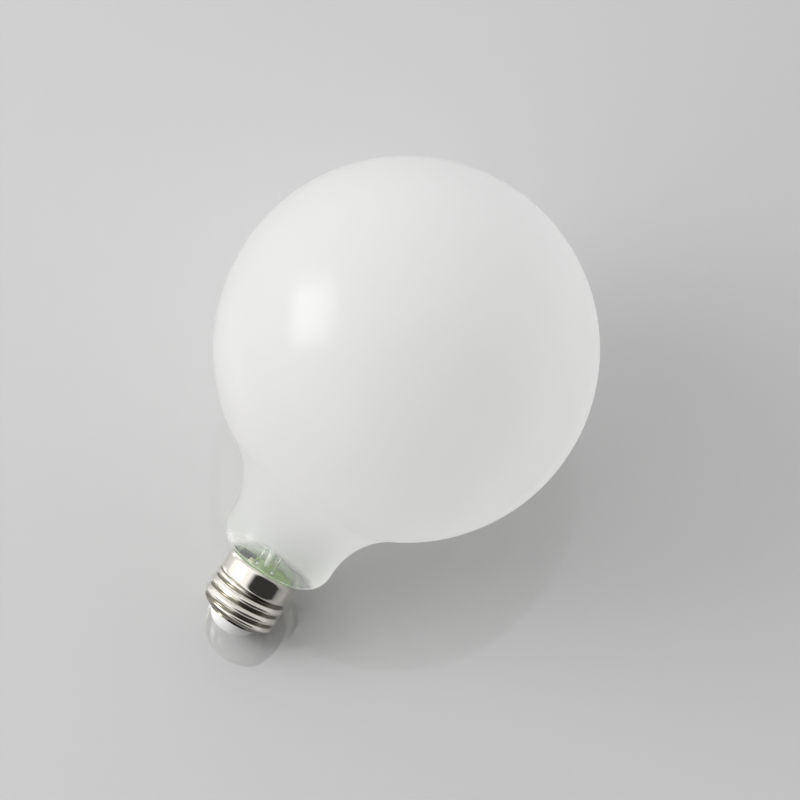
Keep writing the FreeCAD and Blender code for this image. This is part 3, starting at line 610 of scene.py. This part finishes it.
# %% [markdown]
# ## Nickel plate
#
# The shell is steel with a bright, slightly warm nickel plate. A metal shows its surroundings, so
# its colour is nearly neutral and the reflections do the work. An even mirror would look like a
# drawing, so two helpers add what every real surface has: a slow change of roughness and a fine
# bump. A third lets the colour drift between two tones. Here it paints shade into the grooves: the
# plate is darker at their bottom, so the tone follows the distance from the axis.

# %% Helpers for unevenness
TONE_SPAN = (0.3, 0.7)


def vary_colour(tree, shader, factor, dark, light):
    """Lets the base colour drift between two tones."""
    ramp = tree.nodes.new("ShaderNodeValToRGB")
    for element, position, tone in zip(ramp.color_ramp.elements, TONE_SPAN, (dark, light)):
        element.position = position
        element.color = (*tone, 1)
    tree.links.new(factor, ramp.inputs["Fac"])
    tree.links.new(ramp.outputs["Color"], shader.inputs["Base Color"])


def vary_roughness(tree, shader, factor, low, high):
    tree.links.new(remap(tree, factor, target=(low, high)), shader.inputs["Roughness"])


def add_bump(tree, shader, factor, strength, distance):
    bump = tree.nodes.new("ShaderNodeBump")
    bump.inputs["Strength"].default_value = strength
    bump.inputs["Distance"].default_value = distance
    tree.links.new(factor, bump.inputs["Height"])
    tree.links.new(bump.outputs["Normal"], shader.inputs["Normal"])


print("tones drift over this span of the noise:", TONE_SPAN)

# %% The plate's finish
# The dark groove tone below is painted shade at the bottom of the thread's grooves.
GROOVE_DARK = 12.15 * MM
GROOVE_SHADE_END = 12.5 * MM
GROOVE_PAINTED_SHADE = (0.22, 0.20, 0.16)
UNSHADED_PLATE = (0.82, 0.79, 0.72)


def distance_from_axis(tree):
    arm = calculate_vector(tree, "SUBTRACT", own_place(tree), globe_centre)
    return calculate_vector(tree, "LENGTH", calculate_vector(tree, "CROSS_PRODUCT", arm, down_axis))


nickel, tree, shader = new_finish("nickel_plate", (0.80, 0.77, 0.70), 0.16, metallic=1.0)
# Painted shade: the plate's colour is darker towards the bottom of the grooves.
out_of_groove = remap(tree, distance_from_axis(tree), (GROOVE_DARK, GROOVE_SHADE_END))
vary_colour(tree, shader, out_of_groove, GROOVE_PAINTED_SHADE, UNSHADED_PLATE)
vary_roughness(tree, shader, add_noise(tree, 400, detail=5), low=0.03, high=0.10)
add_bump(tree, shader, add_noise(tree, 900, detail=6), strength=0.08, distance=0.1 * MM)
print("finish:", nickel.name)

# %% [markdown]
# ## The shell itself
#
# Like the glass, the sheet is turned as one closed mesh with two faces. Its inside is not bright:
# it is smeared with the cement that holds the glass, and shows pale behind the clear end. So the
# inner faces get a finish of their own, which is simpler than a second mesh.

# %% Make the shell
SHELL_AROUND = 192

smeared_inside, tree, shader = new_finish("cement_smeared_inside", (0.76, 0.79, 0.66), 0.8)
vary_colour(tree, shader, add_noise(tree, 300, detail=5), (0.70, 0.74, 0.60), (0.80, 0.83, 0.71))

outside, inside = shell_side(0.0), shell_side(SHEET_WALL)
shell = lathe("thread_shell", outside + inside[::-1], SHELL_AROUND, rolled=thread_roll)
finish_both_sides(shell, nickel, smeared_inside, (len(outside) - 1) * SHELL_AROUND)
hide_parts("screw_shell")

# %% [markdown]
# ## The board and its parts
#
# The green board lies in the cap's mouth and shows through the clear end. Its solid is right as it
# is, as are those of its parts, so they only get finishes. An image of a board could be laid on it,
# but noise is enough here, because only its colour and a slight unevenness show at this size. The
# mask is a satin lacquer, the chip is black moulding, and the small parts are fired ceramic or lie
# in a plastic sleeve.


# %% Finish the board and its parts
def dress(material, *names):
    """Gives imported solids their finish."""
    for name in names:
        for slot in nodes[name].material_slots:
            slot.material = material
    print(material.name, "on", ", ".join(names))


mask, tree, shader = new_finish("green_solder_mask", (0.34, 0.50, 0.17), 0.4)
vary_colour(tree, shader, add_noise(tree, 600), (0.29, 0.45, 0.14), (0.40, 0.56, 0.22))
add_bump(tree, shader, add_noise(tree, 1500), strength=0.1, distance=0.1 * MM)
dress(mask, "driver_board")

moulding, tree, shader = new_finish("black_moulding", (0.02, 0.02, 0.022), 0.45)
add_bump(tree, shader, add_noise(tree, 3000), strength=0.25, distance=0.05 * MM)
dress(moulding, "driver_chip", "bridge_rectifier")

ceramic, tree, shader = new_finish("fired_ceramic", (0.72, 0.62, 0.45), 0.5)
vary_colour(tree, shader, add_noise(tree, 1200), (0.66, 0.56, 0.40), (0.80, 0.72, 0.56))
dress(ceramic, "ceramic_capacitor", "fusible_resistor")

sleeve, tree, shader = new_finish("capacitor_sleeve", (0.05, 0.05, 0.07), 0.35)
add_bump(tree, shader, add_noise(tree, 800), strength=0.1, distance=0.1 * MM)
dress(sleeve, "smoothing_capacitor")

# %% [markdown]
# ## Wires and solder
#
# The wires are tinned, so they are a duller metal than the cap, and the solder cones are bright and
# a little lumpy. Both are plain metals: a slow change of roughness keeps the wires from looking
# new, and a bump gives the solder its lumps.

# %% Finish the wires and solder
wire, tree, shader = new_finish("tinned_wire", (0.78, 0.77, 0.74), 0.25, metallic=1.0)
vary_roughness(tree, shader, add_noise(tree, 1500), low=0.18, high=0.38)
dress(wire, "lead_wire_1", "lead_wire_2", "contact_lead", "shell_lead", "filament_anchor")

solder, tree, shader = new_finish("bright_solder", (0.78, 0.78, 0.79), 0.2, metallic=1.0)
add_bump(tree, shader, add_noise(tree, 1400), strength=0.3, distance=0.1 * MM)
dress(solder, "lead_solder_1", "lead_solder_2")

# %% [markdown]
# ## The light filaments
#
# Each filament is a thin glass strip with tiny diodes under yellow phosphor. When it is off it
# looks like a matt yellow stick, so it needs no light of its own. Through the milky glass it can't
# be seen at all.

# %% Finish the filaments
phosphor, tree, shader = new_finish("yellow_phosphor", (0.90, 0.62, 0.12), 0.7)
vary_colour(tree, shader, add_noise(tree, 700), (0.84, 0.55, 0.08), (0.95, 0.70, 0.18))
dress(phosphor, *["led_filament_%d" % number for number in range(1, 5)])

# %% [markdown]
# ## Cement, insulator and contact
#
# The cap's other pieces are the rough cement between glass and shell, the smooth white insulator
# and the metal contact in its tip. They differ mostly in how they shine: the cement not at all, the
# insulator under a thin clear coat, and the contact unevenly, because it has been pressed.

# %% Finish the cap's other pieces
cement, tree, shader = new_finish("basing_cement", (0.74, 0.72, 0.64), 0.9)
add_bump(tree, shader, add_noise(tree, 900, detail=6), strength=0.5, distance=0.2 * MM)
dress(cement, "basing_cement")

white, tree, shader = new_finish("white_insulator", (0.93, 0.93, 0.92), 0.3, Coat_Weight=0.3)
vary_colour(tree, shader, add_noise(tree, 200), (0.91, 0.91, 0.90), (0.95, 0.95, 0.94))
add_bump(tree, shader, add_noise(tree, 1500), strength=0.08, distance=0.1 * MM)
dress(white, "insulator")

contact_metal, tree, shader = new_finish("contact_metal", (0.66, 0.64, 0.60), 0.35, metallic=1.0)
vary_roughness(tree, shader, add_noise(tree, 1500, detail=5), low=0.25, high=0.5)
dress(contact_metal, "centre_contact")

# %% [markdown]
# ## The glass of the stem
#
# The stem is drawn from glass tube and looks a little green where it is seen through many walls. It
# gets the same thin glass as the envelope's clear end, with more tint. The tube in its middle,
# through which the air was drawn out, is whitish and nearly opaque in the photograph, so it is a
# plain white gloss.

# %% Finish the stem
STEM_TINT = (0.972, 0.99, 0.966)

stem_glass, tree = new_bare_finish("stem_glass")
show(tree, thin_glass(tree, STEM_TINT))
dress(stem_glass, "stem_flare", "stem_post")

drawn_glass, tree, shader = new_finish("drawn_glass", (0.95, 0.95, 0.96), 0.15)
dress(drawn_glass, "exhaust_tube")

# %% [markdown]
# ## The floor
#
# The bulb lies on a plain, pale board that mirrors it faintly. One large face is enough. Its gloss
# comes from the shader: a low roughness keeps the mirror image crisp, and the diffuse colour under
# it keeps it faint.

# %% Make the floor
FLOOR_SIZE = 12.0
FLOOR_GREY = (0.57, 0.57, 0.57)

floor_data = bpy.data.meshes.new("floor")
half = FLOOR_SIZE / 2
floor_corners = [(-half, -half, 0), (half, -half, 0), (half, half, 0), (-half, half, 0)]
floor_data.from_pydata(floor_corners, [], [(0, 1, 2, 3)])
floor = bpy.data.objects.new("floor", floor_data)
bpy.context.scene.collection.objects.link(floor)
floor_finish, tree, shader = new_finish(
    "pale_floor", FLOOR_GREY, 0.04, IOR=1.6, Specular_IOR_Level=1.0)
floor_data.materials.append(floor_finish)
print("floor:", FLOOR_SIZE, "m square")

# %% [markdown]
# ## The soft lamp
#
# One large soft lamp stands low on the left of the picture. Its direction follows from the
# highlight on the globe, because a globe mirrors each direction in one place only. It gives only a
# part of the light, so the shadows are pale and soft.
#
# A plain area lamp would show as a sharp rectangle in the gloss. The highlight in the photograph
# has soft edges, like those of a cloth-covered lamp, so the light fades from the middle of the lamp
# to its edges.

# %% Place the lamp
LAMP_AZIMUTH = math.radians(-152)
LAMP_ELEVATION = math.radians(32)
LAMP_DISTANCE = 1.3
LAMP_WIDTH = 1.2
LAMP_HEIGHT = 0.95
LAMP_POWER = 22.0

lamp_data = bpy.data.lights.new("soft_lamp", "AREA")
lamp_data.shape = "RECTANGLE"
lamp_data.size = LAMP_WIDTH
lamp_data.size_y = LAMP_HEIGHT
lamp_data.energy = LAMP_POWER
lamp = bpy.data.objects.new("soft_lamp", lamp_data)
bpy.context.scene.collection.objects.link(lamp)
lamp_direction = direction_of(LAMP_AZIMUTH, LAMP_ELEVATION)
lamp_side = Vector((0, 0, 1)).cross(lamp_direction).normalized()
lamp_spot = globe_centre + lamp_direction * LAMP_DISTANCE
lamp.matrix_world = aimed(lamp_spot, lamp_side, lamp_direction.cross(lamp_side), lamp_direction)
print("lamp direction", [round(v, 2) for v in lamp_direction])

# %% Soften the lamp's edges
SOFT_EDGE = 0.75
MIDDLE = 0.5

lamp_data.use_nodes = True
tree = lamp_data.node_tree
parts = tree.nodes.new("ShaderNodeSeparateXYZ")
place_on_lamp = tree.nodes.new("ShaderNodeNewGeometry").outputs["Parametric"]
tree.links.new(place_on_lamp, parts.inputs["Vector"])
fades = []
for axis in ("X", "Y"):
    from_edge = calculate(tree, "PINGPONG", parts.outputs[axis], MIDDLE)
    fades.append(remap(tree, from_edge, (0.0, SOFT_EDGE / 2), soft=True))
fade = calculate(tree, "MULTIPLY", *fades)
tree.links.new(fade, tree.nodes["Emission"].inputs["Strength"])
print("the light fades over %.0f percent of each half" % (SOFT_EDGE * 100))

# %% [markdown]
# ## The room
#
# The room gives the rest of the light. A picture of a real room could surround the scene, but two
# simple rules are enough, and they are easy to change: the room is brighter on the lamp's side, and
# it has one dark corner. The globe hardly shows that corner, but the metal cap mirrors it as its
# black band.

# %% Set up the room
ROOM_LIGHT = 0.96
ROOM_SLANT = 0.31
CORNER_AZIMUTH = math.radians(-32)
CORNER_ELEVATION = math.radians(33)
CORNER_INNER = math.radians(38)
CORNER_OUTER = math.radians(58)
CORNER_LIGHT = 0.04

world = bpy.data.worlds.new("room")
bpy.context.scene.world = world
world.use_nodes = True
tree = world.node_tree
looked_at = tree.nodes.new("ShaderNodeTexCoord").outputs["Generated"]

to_lamp = calculate_vector(tree, "DOT_PRODUCT", looked_at, direction_of(LAMP_AZIMUTH, 0))
walls = calculate(tree, "MULTIPLY_ADD", to_lamp, ROOM_SLANT, ROOM_LIGHT)
corner = direction_of(CORNER_AZIMUTH, CORNER_ELEVATION)
to_corner = calculate_vector(tree, "DOT_PRODUCT", looked_at, corner)
corner_span = (math.cos(CORNER_INNER), math.cos(CORNER_OUTER))
open_room = remap(tree, to_corner, corner_span, soft=True)
lit_room = calculate(tree, "MULTIPLY", walls, open_room)
room = calculate(tree, "MAXIMUM", lit_room, CORNER_LIGHT)
tree.links.new(room, tree.nodes["Background"].inputs["Strength"])
tree.nodes["Background"].inputs["Color"].default_value = WHITE

bpy.context.scene.view_settings.view_transform = "Standard"
print("dark corner at", [round(v, 2) for v in corner])
